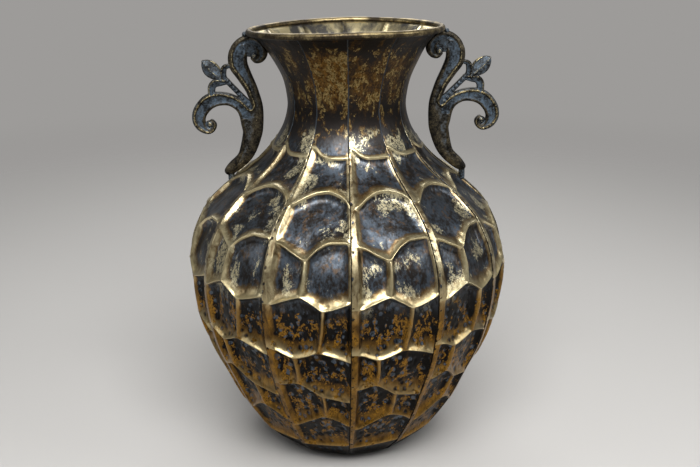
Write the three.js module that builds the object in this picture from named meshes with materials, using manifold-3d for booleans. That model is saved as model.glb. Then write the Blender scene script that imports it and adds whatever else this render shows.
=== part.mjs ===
// A bulbous sheet-iron vase, 480 mm tall, with a flared neck and two scroll handles.
// Twelve pressed gores stand side by side on a base disc, each from the floor to the rim.
// A rod ring edges the mouth, and each handle hangs from it and stands on a pin on the shoulder.
// Millimetres, +Z up, with the origin on the floor on the vase's axis.
// The handles lie in the XZ plane and one seam faces -Y.

import * as THREE from 'three';
import { mergeVertices } from 'three/addons/utils/BufferGeometryUtils.js';
import Module from 'manifold-3d';

const wasm = await Module();
wasm.setup();

// Driving dimensions
const GORE_COUNT = 12;
const GAP = 0.3;                 // clear space between pieces that touch
const SHEET = 1.2;               // thickness of the pressed sheet
const FLANGE_DEPTH = 8;          // inward flange along each seam
const RELIEF = 4;                // depth of a stamped cell under the ridge above it
const RELIEF_DROP = 6;           // height over which the sheet steps in under a ridge
const SEAM_LIP = 0.35;           // share of the relief that the right edge keeps
const RIM_RADIUS = 104.65;       // centre line of the rim ring
const RIM_HEIGHT = 476.5;
const ROD_RADIUS = 3.5;
const BASE_RADIUS = 72;
const BASE_THICKNESS = 2.5;
const FOOT_RADIUS = 66;          // how far in the gores' feet turn over the base disc
const HANDLE_THICKNESS = 10;
const BODY_CLEARANCE = 0.8;      // from the gores' outline to the handle and its fixings
const PIN_RADIUS = 3.6;
const PIN_X = 130.5;
const PIN_TOP = 321.5;
const PIN_LENGTH = 30;           // before its foot is cut to the shoulder
const PIN_SIDES = 14;
const BASE_SIDES = 36;
const RING_STEPS = { about: 8, around: 40 };
const BRAZE = { radius: 3.4, across: 6.5, around: 12, rows: 8 };

// Both handles come from one pattern. The right one was fixed a little higher and leans out.
const HANDLE_PLACES = {
  right: { rise: 4.5, lean: THREE.MathUtils.degToRad(1.5), braze: { x: 108.4, z: 472.2 } },
  left: { rise: 0, lean: 0, braze: { x: 110.4, z: 468.8 } },
};
const LEAN_CENTRE = { x: 110, z: 440 };

// The mouth isn't quite level: left of the hinge it hangs down, and all of it stands a little to the left
const MOUTH = { from: 405, to: 474, hinge: 15, reach: 120, power: 1.15, sag: 4.9, shift: 1.5 };

// Outline of the gores, seen from the side: height and radius where two gores meet
const MERIDIAN = [
  [3.1, 83], [6.5, 89], [16, 99], [27, 109], [64, 133], [105, 152], [140, 167], [176, 176], [211, 179.5],
  [247, 175.5], [281, 159.5], [300, 142], [317, 121], [335, 98.5], [352, 83], [370, 71.5], [390, 66],
  [407, 67], [424, 71], [441, 78.7], [458, 88], [467.5, 95.6], [473.9, 101.9],
];

// How round the cross-section is between two seams: 0 is a flat gore, 1 a true circle
const FULLNESS = [[3, 0.35], [60, 0.6], [150, 1.1], [230, 1.2], [320, 1], [390, 0.5], [440, 0.8], [475, 1]];

// Stamped ridges from the top down: share of the gore's width and height of the crest
const RIDGES = [
  [[0.12, 356], [0.3, 351], [0.46, 349], [0.68, 349], [1, 349]],
  [[0.12, 310], [0.3, 317], [0.46, 320], [0.68, 319], [1, 313]],
  [[0.12, 277], [0.3, 269], [0.46, 265], [0.68, 276], [1, 280]],
  [[0.12, 219], [0.3, 225], [0.46, 229], [0.68, 217], [1, 224]],
  [[0.12, 166], [0.3, 161], [0.46, 165], [0.68, 168], [1, 158]],
  [[0.12, 122], [0.3, 127], [0.46, 118], [0.68, 109], [1, 104]],
  [[0.12, 61], [0.3, 70], [0.46, 77], [0.68, 79], [1, 66]],
  [[0.12, 26], [0.3, 26.5], [0.46, 27], [0.68, 28], [1, 30]],
];
// Column of the upright ridge that divides the cells below each ridge, or -1 for one wide cell
const DIVIDERS = [-1, -1, 2, 3, 1, 3, -1];
// Cells that bulge enough to need a row of their own halfway up
const TALL_CELLS = [2, 3];

// Level rows under the first ridge, with their relief, and above the last one
const FOOT_ROWS = [{ z: 3.1, relief: 0 }, { z: 7, relief: 0 }, { z: 16, relief: 1 }];
const NECK_LEVELS = [373, 394, 425, 455, 473.9];
const DIVIDER_RELIEF = 0.3;      // share of the cells' relief on an upright ridge

// Depth of the flange at each height: it runs out where the gore turns in at the foot and at the rim
const FLANGE_FOOT = 12;
const FLANGE_STUB = SHEET + 0.4;
const FLANGE = [[FLANGE_FOOT, FLANGE_DEPTH], [420, FLANGE_DEPTH], [447, FLANGE_STUB]];

// Columns of a gore's skin: share of the width, and share of the relief that the column takes
const COLUMNS = [
  { share: 0, relief: 0 },
  { share: 0.1, relief: 0 },
  { share: 0.12, relief: 1 },
  { share: 0.3, relief: 1 },
  { share: 0.46, relief: 1 },
  { share: 0.68, relief: 1 },
  { share: 1, relief: SEAM_LIP },
];

// Handle, drawn on its middle plane: distance from the vase's axis, height and width of the stroke
const STEM = [
  [133, 318, 9.5], [127.5, 322.3, 13], [116.5, 332, 14.8], [110.3, 343, 18.3], [105.3, 360, 21.3],
  [104.2, 371.5, 22.5], [100.6, 384, 16], [99.7, 393, 12.2], [103, 404, 12.8], [106.1, 412.1, 13.6],
  [113.6, 426.4, 16.8], [118.7, 437, 20.3], [118.8, 446.5, 20.6], [115.5, 453, 19],
];
const TOP_CURL = [
  [123, 447, 12], [119.6, 454.5, 12], [113.5, 460, 12], [106, 462.3, 12], [98.5, 460.3, 12.5],
  [92.9, 454.3, 12.3], [92.2, 447.5, 11.2], [94.6, 442.7, 8.4], [99, 441.2, 6.5], [102.6, 443.6, 4.6],
];
const BRANCH = [
  [108, 379, 14], [117.2, 390.8, 13.6], [126, 396.8, 13.2], [134.5, 399, 14], [145, 398.6, 15.8],
  [154.3, 394.3, 16.6], [161.7, 385.5, 16], [164.2, 377, 14.5], [162.5, 370.2, 12.2], [158.3, 365.4, 9.2],
  [153.3, 363.4, 6.8], [148.9, 365.8, 6], [147.6, 370.3, 5.6], [150, 373.8, 4.8],
];
const BUD = [
  [139.5, 422, 7], [143.6, 426.6, 13.5], [148.4, 431, 17], [152.2, 435.2, 12.6], [155, 438.2, 6.4],
  [157.4, 440.4, 1.6],
];
const UPPER_PETAL = [
  [133.6, 418.6, 6], [135.6, 424, 7], [135.2, 429.6, 6.6], [133.4, 433.6, 5.8], [129, 435, 4.6],
];
const LOWER_PETAL = [
  [133.6, 417.6, 6], [139, 417, 7.6], [144.6, 416.2, 8.6], [148.2, 412.4, 8.4], [149, 406.6, 7.6],
  [149, 402, 7],
];
const BEAD_BAR = [[134, 421, 5.6], [119.6, 405.8, 5.4], [110, 394.4, 7.6], [105.5, 388.5, 8.5]];
const BEADS = { from: [131, 419.2], to: [108.6, 391.8], count: 8, radius: 2.2, across: 3.9 };

// Round webs that fill the middle of the two scrolls, and the eyes on them: centre and radius
const WEBS = [[105.5, 453.8, 8.8], [152.5, 369.6, 5.2]];
const EYES = [[100.8, 446.2, 3.2], [151.8, 371.6, 3.4]];

// How each stroke is cut: steps along it, thickness and bevel
const STROKES = [
  { points: STEM, steps: 16, depth: HANDLE_THICKNESS, bevel: 1.5 },
  { points: TOP_CURL, steps: 14, depth: HANDLE_THICKNESS, bevel: 1.5 },
  { points: BRANCH, steps: 18, depth: HANDLE_THICKNESS, bevel: 1.5 },
  { points: BUD, steps: 6, depth: HANDLE_THICKNESS - 2, bevel: 0.6 },
  { points: UPPER_PETAL, steps: 5, depth: HANDLE_THICKNESS - 3, bevel: 1 },
  { points: LOWER_PETAL, steps: 7, depth: HANDLE_THICKNESS - 3, bevel: 1 },
  { points: BEAD_BAR, steps: 3, depth: HANDLE_THICKNESS - 4, bevel: 1 },
];
const WEB_SIDES = 16;
const WEB_THICKNESS = 8;

// The gores' outline as a turned solid that the handles and their fixings keep clear of
const KEEP_OUT = { from: 200, to: 350, every: 20, sides: 60 };
const KEEP_OUT_RING = { about: 10, around: 72 };
const OUTLINE_STEPS = 400;
const MERGE_DISTANCE = 1e-4;

// Surface colours
const PALETTE = {
  gore: [0x6b5226, 0.42],
  ring: [0x4a4030, 0.45],
  handle: [0x4c5866, 0.55],
  pin: [0x3a3a3a, 0.6],
  braze: [0x6e5a34, 0.5],
  base: [0x2c2620, 0.6],
};

function material([color, roughness]) {
  return new THREE.MeshStandardMaterial({ color, roughness, metalness: 1 });
}

const object = new THREE.Group();

function addPiece(name, geometry, look) {
  geometry.computeVertexNormals();
  const mesh = new THREE.Mesh(geometry, material(look));
  mesh.name = name;
  object.add(mesh);
  return mesh;
}

// A smooth value between listed points, with level ends
function blend(table, x) {
  if (x <= table[0][0]) return table[0][1];
  for (let i = 1; i < table.length; i += 1) {
    const [x0, y0] = table[i - 1];
    const [x1, y1] = table[i];
    if (x <= x1) return THREE.MathUtils.lerp(y0, y1, THREE.MathUtils.smoothstep(x, x0, x1));
  }
  return table[table.length - 1][1];
}

// Bends a finished shape, in the vase's own frame, the way the mouth is bent
function bent(geometry) {
  const { from, to, hinge, reach, power, sag, shift } = MOUTH;
  const position = geometry.attributes.position;
  for (let i = 0; i < position.count; i += 1) {
    const x = position.getX(i);
    const z = position.getZ(i);
    const share = THREE.MathUtils.smoothstep(z, from, to);
    const away = Math.max(hinge - x, 0) / reach;
    position.setX(i, x - shift * share * share);
    position.setZ(i, z - sag * share * away ** power);
  }
  return geometry;
}

const outline = new THREE.SplineCurve(MERIDIAN.map(([z, r]) => new THREE.Vector2(r, z)))
  .getPoints(OUTLINE_STEPS);

// Radius and outward normal of the outline at a height
function meridianAt(z) {
  let i = outline.findIndex((p) => p.y > z);
  if (i < 1) i = i < 0 ? outline.length - 1 : 1;
  const a = outline[i - 1];
  const b = outline[i];
  const t = (z - a.y) / (b.y - a.y);
  const length = a.distanceTo(b);
  return { r: a.x + t * (b.x - a.x), nr: (b.y - a.y) / length, nz: -(b.x - a.x) / length };
}

// Rows of a gore from the base to the rim: height at each column, relief and divider column
function goreRows() {
  const level = (z) => COLUMNS.map(() => z);
  const crest = (i) => COLUMNS.map(({ share }) => blend(RIDGES[i], share));
  const rows = FOOT_ROWS.map(({ z, relief }) => ({ z: level(z), relief }));
  for (let i = RIDGES.length - 1; i >= 0; i -= 1) {
    const top = crest(i);
    if (i < RIDGES.length - 1) {
      const bottom = crest(i + 1);
      if (TALL_CELLS.includes(i)) {
        const middle = top.map((z, c) => (z + bottom[c]) / 2);
        rows.push({ z: middle, relief: RELIEF / 2, divider: DIVIDERS[i] });
      }
      rows.push({ z: top.map((z) => z - RELIEF_DROP), relief: RELIEF, divider: DIVIDERS[i] });
    }
    rows.push({ z: top, relief: 0 });
  }
  for (const z of NECK_LEVELS) {
    rows.push({ z: level(z), relief: 0 });
  }
  return rows;
}

// One corner of a gore's section, in the gore's own frame with its middle on +X
function gorePoint(column, z, relief, depth, inset) {
  const { r, nr, nz } = meridianAt(z);
  const half = Math.PI / GORE_COUNT;
  const angle = (column.share - 0.5) * 2 * half;
  const chord = Math.cos(half) / Math.cos(angle);
  const full = blend(FULLNESS, z);
  const skin = r * (chord + full * (1 - chord)) - relief - depth * nr;
  const side = Math.sign(angle);
  const onEdge = column.share === 0 || column.share === 1;
  const turn = onEdge ? side * (half - Math.asin((GAP / 2 + inset) / skin)) : angle;
  return new THREE.Vector3(skin * Math.cos(turn), skin * Math.sin(turn), z - depth * nz);
}

// The section of a gore along one row: the outer skin with its flanges, then back along the inside
function goreSection(row) {
  const outer = [];
  const inner = [];
  const last = COLUMNS.length - 1;
  COLUMNS.forEach((column, c) => {
    const z = row.z[c];
    const share = c === row.divider ? DIVIDER_RELIEF : column.relief;
    const relief = row.relief * share;
    const flange = z < FLANGE_FOOT ? FLANGE_STUB : blend(FLANGE, z);
    if (c === 0) {
      outer.push(gorePoint(column, z, relief, flange, 0));
      inner.push(gorePoint(column, z, relief, flange, SHEET));
    }
    outer.push(gorePoint(column, z, relief, 0, 0));
    inner.push(gorePoint(column, z, relief, SHEET, c === 0 || c === last ? SHEET : 0));
    if (c === last) {
      outer.push(gorePoint(column, z, relief, flange, 0));
      inner.push(gorePoint(column, z, relief, flange, SHEET));
    }
  });
  return { outer, inner };
}

// The bottom end of a gore turns in under the body as a flat foot
function footSection(section, radius) {
  const turnedIn = (point, height) => {
    const r = Math.hypot(point.x, point.y);
    const half = Math.PI / GORE_COUNT;
    const angle = Math.atan2(point.y, point.x);
    const edge = Math.sign(angle) * (half - Math.asin((GAP / 2) / radius));
    const turn = Math.abs(angle) > half - (GAP * 2) / r ? edge : angle;
    return new THREE.Vector3(radius * Math.cos(turn), radius * Math.sin(turn), height);
  };
  const bottom = BASE_THICKNESS + GAP;
  return {
    outer: section.outer.map((point) => turnedIn(point, bottom)),
    inner: section.inner.map((point) => turnedIn(point, bottom + SHEET)),
  };
}

// A closed shell between matching outer and inner rows
function shellGeometry(sections) {
  const width = sections[0].outer.length;
  const positions = [];
  for (const { outer, inner } of sections) {
    for (const point of [...outer, ...inner]) positions.push(point.x, point.y, point.z);
  }
  const outerAt = (row, c) => row * 2 * width + c;
  const innerAt = (row, c) => row * 2 * width + width + c;
  const index = [];
  const quad = (a, b, c, d) => index.push(a, b, c, a, c, d);
  const lastRow = sections.length - 1;
  for (let row = 0; row < lastRow; row += 1) {
    for (let c = 0; c + 1 < width; c += 1) {
      quad(outerAt(row, c), outerAt(row, c + 1), outerAt(row + 1, c + 1), outerAt(row + 1, c));
      quad(innerAt(row, c + 1), innerAt(row, c), innerAt(row + 1, c), innerAt(row + 1, c + 1));
    }
    quad(innerAt(row, 0), outerAt(row, 0), outerAt(row + 1, 0), innerAt(row + 1, 0));
    const end = width - 1;
    quad(outerAt(row, end), innerAt(row, end), innerAt(row + 1, end), outerAt(row + 1, end));
  }
  for (let c = 0; c + 1 < width; c += 1) {
    quad(outerAt(0, c + 1), outerAt(0, c), innerAt(0, c), innerAt(0, c + 1));
    quad(outerAt(lastRow, c), outerAt(lastRow, c + 1), innerAt(lastRow, c + 1), innerAt(lastRow, c));
  }
  const geometry = new THREE.BufferGeometry();
  geometry.setAttribute('position', new THREE.Float32BufferAttribute(positions, 3));
  geometry.setIndex(index);
  return geometry;
}

function goreGeometry() {
  const sections = goreRows().map(goreSection);
  sections.unshift(footSection(sections[0], FOOT_RADIUS));
  return shellGeometry(sections);
}

// Gore 1 lies to the right of the seam that faces -Y, seen from the front, and the rest follow round
const goreShape = goreGeometry();
for (let i = 0; i < GORE_COUNT; i += 1) {
  const turn = -Math.PI / 2 + ((i + 0.5) * 2 * Math.PI) / GORE_COUNT;
  const name = `gore_${String(i + 1).padStart(2, '0')}`;
  addPiece(name, bent(goreShape.clone().rotateZ(turn)), PALETTE.gore);
}

// Rod ring along the edge of the flare
const ring = new THREE.TorusGeometry(RIM_RADIUS, ROD_RADIUS, RING_STEPS.about, RING_STEPS.around);
ring.translate(0, 0, RIM_HEIGHT);
addPiece('rim_ring', bent(ring), PALETTE.ring);

// Base disc under the gores' turned-in feet
const disc = new THREE.CylinderGeometry(BASE_RADIUS, BASE_RADIUS, BASE_THICKNESS, BASE_SIDES);
disc.rotateX(Math.PI / 2);
disc.translate(0, 0, BASE_THICKNESS / 2);
addPiece('base_disc', disc, PALETTE.base);

// Solids for joining and cutting
function solid(geometry) {
  const bare = geometry.clone();
  bare.deleteAttribute('normal');
  bare.deleteAttribute('uv');
  const merged = mergeVertices(bare, MERGE_DISTANCE);
  const mesh = new wasm.Mesh({
    numProp: 3,
    vertProperties: merged.attributes.position.array,
    triVerts: Uint32Array.from(merged.index.array),
  });
  return new wasm.Manifold(mesh);
}

function fromSolid(body) {
  const mesh = body.getMesh();
  const geometry = new THREE.BufferGeometry();
  geometry.setAttribute('position', new THREE.BufferAttribute(mesh.vertProperties, 3));
  geometry.setIndex(new THREE.BufferAttribute(mesh.triVerts, 1));
  return geometry;
}

// A flat stroke of changing width with rounded ends, standing in the XZ plane
function strokeGeometry(points, steps, depth, bevel) {
  const places = points.map(([x, z, w]) => new THREE.Vector3(x, z, w / 2));
  const samples = new THREE.CatmullRomCurve3(places, false, 'centripetal').getSpacedPoints(steps);
  const left = [];
  const right = [];
  samples.forEach((point, i) => {
    const before = samples[Math.max(i - 1, 0)];
    const after = samples[Math.min(i + 1, steps)];
    const angle = Math.atan2(after.y - before.y, after.x - before.x);
    left.push(new THREE.Vector2(point.x - point.z * Math.sin(angle), point.y + point.z * Math.cos(angle)));
    right.push(new THREE.Vector2(point.x + point.z * Math.sin(angle), point.y - point.z * Math.cos(angle)));
  });
  const shape = new THREE.Shape([...right, ...left.reverse()]);
  const straight = depth - 2 * bevel;
  const geometry = new THREE.ExtrudeGeometry(shape, {
    depth: straight,
    bevelEnabled: true,
    bevelThickness: bevel,
    bevelSize: bevel,
    bevelOffset: -bevel,
    bevelSegments: 1,
  });
  geometry.translate(0, 0, -straight / 2);
  geometry.rotateX(Math.PI / 2);
  return geometry;
}

// A rounded boss or bead, as wide across the handle as asked
function ball([x, z, radius], across) {
  const geometry = new THREE.IcosahedronGeometry(radius, 0);
  geometry.scale(1, across / radius, 1);
  geometry.translate(x, 0, z);
  return geometry;
}

// A round web as thick as the strokes round it
function web([x, z, radius], thickness) {
  const geometry = new THREE.CylinderGeometry(radius, radius, thickness, WEB_SIDES);
  geometry.translate(x, 0, z);
  return geometry;
}

// Moves a shape from the pattern to where a handle was fixed
function placed(geometry, { rise, lean }) {
  geometry.translate(-LEAN_CENTRE.x, 0, -LEAN_CENTRE.z);
  geometry.rotateY(lean);
  geometry.translate(LEAN_CENTRE.x, 0, LEAN_CENTRE.z + rise);
  return geometry;
}

// The whole casting as one solid. grow makes it a little larger, to cut its neighbours clear of it.
function handleSolid(grow, place) {
  const shapes = STROKES.map(({ points, steps, depth, bevel }) => {
    const wider = points.map(([x, z, w]) => [x, z, w + 2 * grow]);
    return strokeGeometry(wider, steps, depth + 2 * grow, bevel);
  });
  for (const [x, z, radius] of WEBS) {
    shapes.push(web([x, z, radius + grow], WEB_THICKNESS + 2 * grow));
  }
  for (const eye of EYES) {
    shapes.push(ball(eye, HANDLE_THICKNESS / 2));
  }
  for (let i = 0; i < BEADS.count; i += 1) {
    const t = i / (BEADS.count - 1);
    const x = THREE.MathUtils.lerp(BEADS.from[0], BEADS.to[0], t);
    const z = THREE.MathUtils.lerp(BEADS.from[1], BEADS.to[1], t);
    shapes.push(ball([x, z, BEADS.radius], BEADS.across));
  }
  return shapes.map((shape) => solid(placed(shape, place))).reduce((sum, next) => sum.add(next));
}

// Pin under the handle's foot, cut along the slope of the shoulder
function pinSolid() {
  const geometry = new THREE.CylinderGeometry(PIN_RADIUS, PIN_RADIUS, PIN_LENGTH, PIN_SIDES);
  geometry.rotateX(Math.PI / 2);
  geometry.translate(PIN_X, 0, PIN_TOP - PIN_LENGTH / 2);
  return solid(geometry);
}

// Lump of braze in the corner between the ring and the top of the handle
function brazeSolid({ x, z }) {
  const geometry = new THREE.SphereGeometry(BRAZE.radius, BRAZE.around, BRAZE.rows);
  geometry.scale(1, BRAZE.across / BRAZE.radius, 1);
  geometry.translate(x, 0, z);
  return solid(geometry);
}

// The space that the body keeps free, a little larger than the gores, as a turned solid
function bodySolid(clearance) {
  const { from, to, every, sides } = KEEP_OUT;
  const below = outline.filter((point, i) => i % every === 0 && point.y > from && point.y < to);
  const profile = [...below.map((point) => point.y), ...NECK_LEVELS].map((z) => {
    const { r, nr, nz } = meridianAt(z);
    return new THREE.Vector2(r + clearance * nr, z + clearance * nz);
  });
  profile.unshift(new THREE.Vector2(0, profile[0].y));
  profile.push(new THREE.Vector2(0, profile[profile.length - 1].y));
  const geometry = new THREE.LatheGeometry(profile, sides);
  geometry.rotateX(Math.PI / 2);
  return solid(bent(geometry));
}

function ringSolid(clearance) {
  const { about, around } = KEEP_OUT_RING;
  const geometry = new THREE.TorusGeometry(RIM_RADIUS, ROD_RADIUS + clearance, about, around);
  geometry.translate(0, 0, RIM_HEIGHT);
  return solid(bent(geometry));
}

const bodyAndRing = bodySolid(BODY_CLEARANCE).add(ringSolid(GAP));

// Each side is shaped on +X, and the left one is then turned to -X
for (const [side, place] of Object.entries(HANDLE_PLACES)) {
  const keepOut = side === 'left' ? bodyAndRing.rotate([0, 0, 180]) : bodyAndRing;
  const grown = handleSolid(GAP, place);
  const pieces = [
    ['handle', handleSolid(0, place).subtract(keepOut), PALETTE.handle],
    ['foot_pin', pinSolid().subtract(keepOut).subtract(grown), PALETTE.pin],
    ['rim_braze', brazeSolid(place.braze).subtract(keepOut).subtract(grown), PALETTE.braze],
  ];
  for (const [name, body, look] of pieces) {
    const piece = addPiece(`${name}_${side}`, fromSolid(body), look);
    piece.rotation.z = side === 'left' ? Math.PI : 0;
  }
}

export default object;
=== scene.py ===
# %% [markdown]
# A pressed-iron vase in antique brass
#
# The vase is put together from twelve stamped gores, a rod ring, a base disc and two cast scroll handles.
# Every piece here is built in mesh code on top of the fixed frame, which holds the sizes and places.

# %% Load the frame
import functools
import math

import bpy
import numpy as np
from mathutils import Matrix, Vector


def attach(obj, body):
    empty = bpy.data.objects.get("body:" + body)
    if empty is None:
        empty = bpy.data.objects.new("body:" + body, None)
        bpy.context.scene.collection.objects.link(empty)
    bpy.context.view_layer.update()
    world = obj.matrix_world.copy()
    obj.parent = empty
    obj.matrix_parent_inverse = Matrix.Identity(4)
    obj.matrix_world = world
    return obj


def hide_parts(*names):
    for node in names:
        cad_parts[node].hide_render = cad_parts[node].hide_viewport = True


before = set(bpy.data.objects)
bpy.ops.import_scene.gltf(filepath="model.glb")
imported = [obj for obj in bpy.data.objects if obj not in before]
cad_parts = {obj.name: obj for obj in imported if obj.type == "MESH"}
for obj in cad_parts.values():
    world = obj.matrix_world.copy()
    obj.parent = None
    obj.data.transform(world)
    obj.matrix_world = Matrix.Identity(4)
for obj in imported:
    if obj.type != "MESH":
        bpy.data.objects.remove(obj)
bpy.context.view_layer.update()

MM = 0.001
print("nodes in the frame:", len(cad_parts))

# %% [markdown]
# The camera comes first, because every later choice is judged through it. The photograph was taken from a
# little above the rim, tilted about 17 degrees down, with the front seam almost facing the lens.

# %% Camera
PHOTO_WIDTH = 700
FOCAL_PIXELS = 945.4
CAMERA_TURN = math.radians(-1.58)
CAMERA_TILT = math.radians(17.0)
CAMERA_AWAY = 1045.7 * MM
CAMERA_HEIGHT = 561.9 * MM
CAMERA_ASIDE = 3.56 * MM
SENSOR_MM = 36.0


def new_object(name, data):
    """An object in the scene that shows a mesh, a camera or a light."""
    made = bpy.data.objects.new(name, data)
    bpy.context.scene.collection.objects.link(made)
    return made


def make_camera():
    data = bpy.data.cameras.new("photo_camera")
    data.sensor_width = SENSOR_MM
    data.lens = FOCAL_PIXELS / PHOTO_WIDTH * SENSOR_MM
    camera = new_object("photo_camera", data)
    sine, cosine = math.sin(CAMERA_TURN), math.cos(CAMERA_TURN)
    camera.location = (CAMERA_AWAY * sine + CAMERA_ASIDE * cosine,
                       CAMERA_ASIDE * sine - CAMERA_AWAY * cosine, CAMERA_HEIGHT)
    camera.rotation_euler = (math.pi / 2 - CAMERA_TILT, 0, CAMERA_TURN)
    bpy.context.scene.camera = camera
    return camera


camera = make_camera()
print("lens %.1f mm" % camera.data.lens)

# %% [markdown]
# Small helpers come next. A vase that was stamped, bent and rubbed by hand has hardly a sharp change
# anywhere, so its forms are mixed with smooth steps, or drawn as smooth lines through a few points.

# %% Smooth steps and lines
def smooth(x, low, high):
    t = np.clip((np.asarray(x, float) - low) / (high - low), 0, 1)
    return t * t * (3 - 2 * t)


def blend(table, x):
    """A smooth value between listed points, with level ends."""
    x = np.asarray(x, float)
    value = np.full(x.shape, float(table[0][1]))
    for (x0, y0), (x1, y1) in zip(table, table[1:]):
        value = value + (y1 - y0) * smooth(x, x0, x1)
    return value


def spline(points, samples):
    """Catmull-Rom line through points, evenly stepped in its own parameter."""
    points = np.asarray(points, float)
    padded = np.vstack([points[:1], points, points[-1:]])
    place = np.linspace(0, len(points) - 1, samples)
    index = np.minimum(place.astype(int), len(points) - 2)
    t = (place - index)[:, None]
    p0, p1, p2, p3 = (padded[index + k] for k in range(4))
    return 0.5 * (2 * p1 + (p2 - p0) * t + (2 * p0 - 5 * p1 + 4 * p2 - p3) * t**2
                  + (3 * p1 - p0 - 3 * p2 + p3) * t**3)


def through(points, x):
    """A smooth curve y(x) through points, without overshoot."""
    xs, ys = np.array(points, float).T
    step = np.diff(xs)
    slope = np.diff(ys) / step
    inner = np.where(slope[:-1] * slope[1:] > 0,
                     2 * slope[:-1] * slope[1:] / (slope[:-1] + slope[1:] + 1e-12), 0)
    tangent = np.concatenate([slope[:1], inner, slope[-1:]])
    x = np.clip(np.asarray(x, float), xs[0], xs[-1])
    i = np.clip(np.searchsorted(xs, x) - 1, 0, len(step) - 1)
    h = step[i]
    t = (x - xs[i]) / h
    return (ys[i] * (1 + 2 * t) * (1 - t)**2 + tangent[i] * h * t * (1 - t)**2
            + ys[i + 1] * t**2 * (3 - 2 * t) + tangent[i + 1] * h * t**2 * (t - 1))


print("half of a step from 0 to 2:", smooth(1, 0, 2))

# %% [markdown]
# Meshes are made from rows of points in millimetres and the quads between them. Blender's own modifiers
# could build parts of this, but arrays let every point carry its wear along with its place.

# %% Faces and mesh objects
def turn_steps(count):
    """Even angles once around a circle."""
    return np.linspace(0, 2 * math.pi, count, endpoint=False)


def grid_faces(rows, columns, closed=False):
    """Quads between rows of points that run around a form, and from the last row to the first if closed."""
    faces = []
    for k in range(rows if closed else rows - 1):
        n = (k + 1) % rows
        for c in range(columns):
            d = (c + 1) % columns
            faces.append((k * columns + c, k * columns + d, n * columns + d, n * columns + c))
    return faces


def turned_faces(rows, columns):
    """Faces of a turned solid: its rows of points from the bottom up, then its lowest and highest point."""
    faces = grid_faces(rows, columns)
    low = rows * columns
    for c in range(columns):
        d = (c + 1) % columns
        faces += [(low, d, c), (low + 1, low - columns + c, low - columns + d)]
    return faces


def mesh_object(name, vertices_mm, faces, values=None):
    """A smooth-shaded object; values holds named numbers for each vertex, for the material to read."""
    mesh = bpy.data.meshes.new(name)
    mesh.from_pydata([tuple(v) for v in np.asarray(vertices_mm) * MM], [], faces)
    mesh.validate()
    mesh.polygons.foreach_set("use_smooth", [True] * len(mesh.polygons))
    for key, numbers in (values or {}).items():
        layer = mesh.attributes.new(key, "FLOAT", "POINT")
        layer.data.foreach_set("value", np.asarray(numbers, np.float32).ravel())
    return new_object(name, mesh)


def hand_over(piece, node):
    """Hides the frame's part that a piece replaces, and sets the piece to ride the root body."""
    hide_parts(node)
    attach(piece, "root")
    return piece


print("faces around a ring of 4 by 6 points:", len(grid_faces(4, 6, closed=True)))

# %% [markdown]
# The gores. On the real vase each one is a strip of sheet iron, stamped in a die and welded to the next
# along an inward flange. The outline, seen from the side, sets the radius at each height. The stamped
# pattern is a set of wavy ridges with deep cells hanging under them like scales, so the mesh rows follow
# the ridges: that keeps every crest on one edge line, where a plain grid would cut it into steps.

# %% Outline and stamped pattern of a gore
GORE_COUNT = 12
HALF_GORE = math.pi / GORE_COUNT
SHEET = 1.2
FLANGE = 8.0
# Height and radius of the outline, from the foot to the rim
MERIDIAN = [
    (3.1, 83), (6.5, 89), (16, 99), (27, 109), (64, 133), (105, 152), (140, 167), (176, 176), (211, 179.5),
    (247, 175.5), (281, 159.5), (300, 142), (317, 121), (335, 98.5), (352, 83), (370, 71.5), (390, 66),
    (407, 67), (424, 71), (441, 78.7), (458, 88), (467.5, 95.6), (473.9, 101.9),
]
# How round a gore is between its seams, by height: 0 is flat and 1 a true circle
FULLNESS = [(3, 0.35), (60, 0.6), (150, 1.1), (230, 1.2), (320, 1), (390, 0.5), (440, 0.8), (475, 1)]
# Width of the border strip, as a share of the gore's width
BORDER = 0.1
# Each ridge from the shoulder down: share of the width and height
RIDGES = [
    [(0, 358), (0.12, 357), (0.3, 351.5), (0.5, 349), (0.75, 349), (1, 349.5)],
    [(0, 308), (0.12, 310), (0.27, 316), (0.45, 320.5), (0.6, 321.5), (0.8, 319), (0.93, 315), (1, 311)],
    [(0, 278), (0.12, 277), (0.3, 270), (0.446, 265), (0.5, 269), (0.6, 276), (0.76, 281), (0.93, 281),
     (1, 279)],
    [(0, 217), (0.1, 218), (0.25, 224), (0.41, 229), (0.55, 223), (0.68, 216.5), (0.85, 220), (1, 225)],
    [(0, 167), (0.1, 167), (0.32, 160.5), (0.45, 164), (0.6, 169), (0.8, 165), (1, 158)],
    [(0, 121), (0.1, 122), (0.3, 127), (0.45, 120), (0.6, 111), (0.8, 107), (1, 103)],
    [(0, 60), (0.12, 61), (0.35, 71), (0.6, 79.5), (0.8, 75), (1, 65)],
    [(0, 26), (0.1, 25.7), (0.5, 27.5), (1, 30)],
]
# The upright ridge in each cell row: share of the width at its top and bottom, or None for one wide cell
DIVIDERS = [None, None, (0.446, 0.415), (0.675, 0.61), (0.315, 0.325), (0.605, 0.61), None]
CELL_DEPTH = [3.4, 6.4, 7.4, 8.2, 7.6, 6.6, 5.4]
# The bend of the mouth: heights where it begins and is full, where across it the sag begins, and its size
MOUTH_LEVELS = (405, 474)
SAG_START = 15
SAG_REACH = 120
SAG = 4.9
SHIFT = 1.5

outline = spline([(r, z) for z, r in MERIDIAN], 401)


def skin_at(z):
    """Radius of the outline and its outward normal at a height."""
    r = np.interp(z, outline[:, 1], outline[:, 0])
    slope = np.gradient(outline[:, 0], outline[:, 1])
    lean = np.interp(z, outline[:, 1], slope)
    length = np.sqrt(1 + lean**2)
    return r, 1 / length, -lean / length


def ridge_height(i, u):
    """Height of a ridge at a share of the gore's width."""
    return through(RIDGES[i], u)


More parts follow.
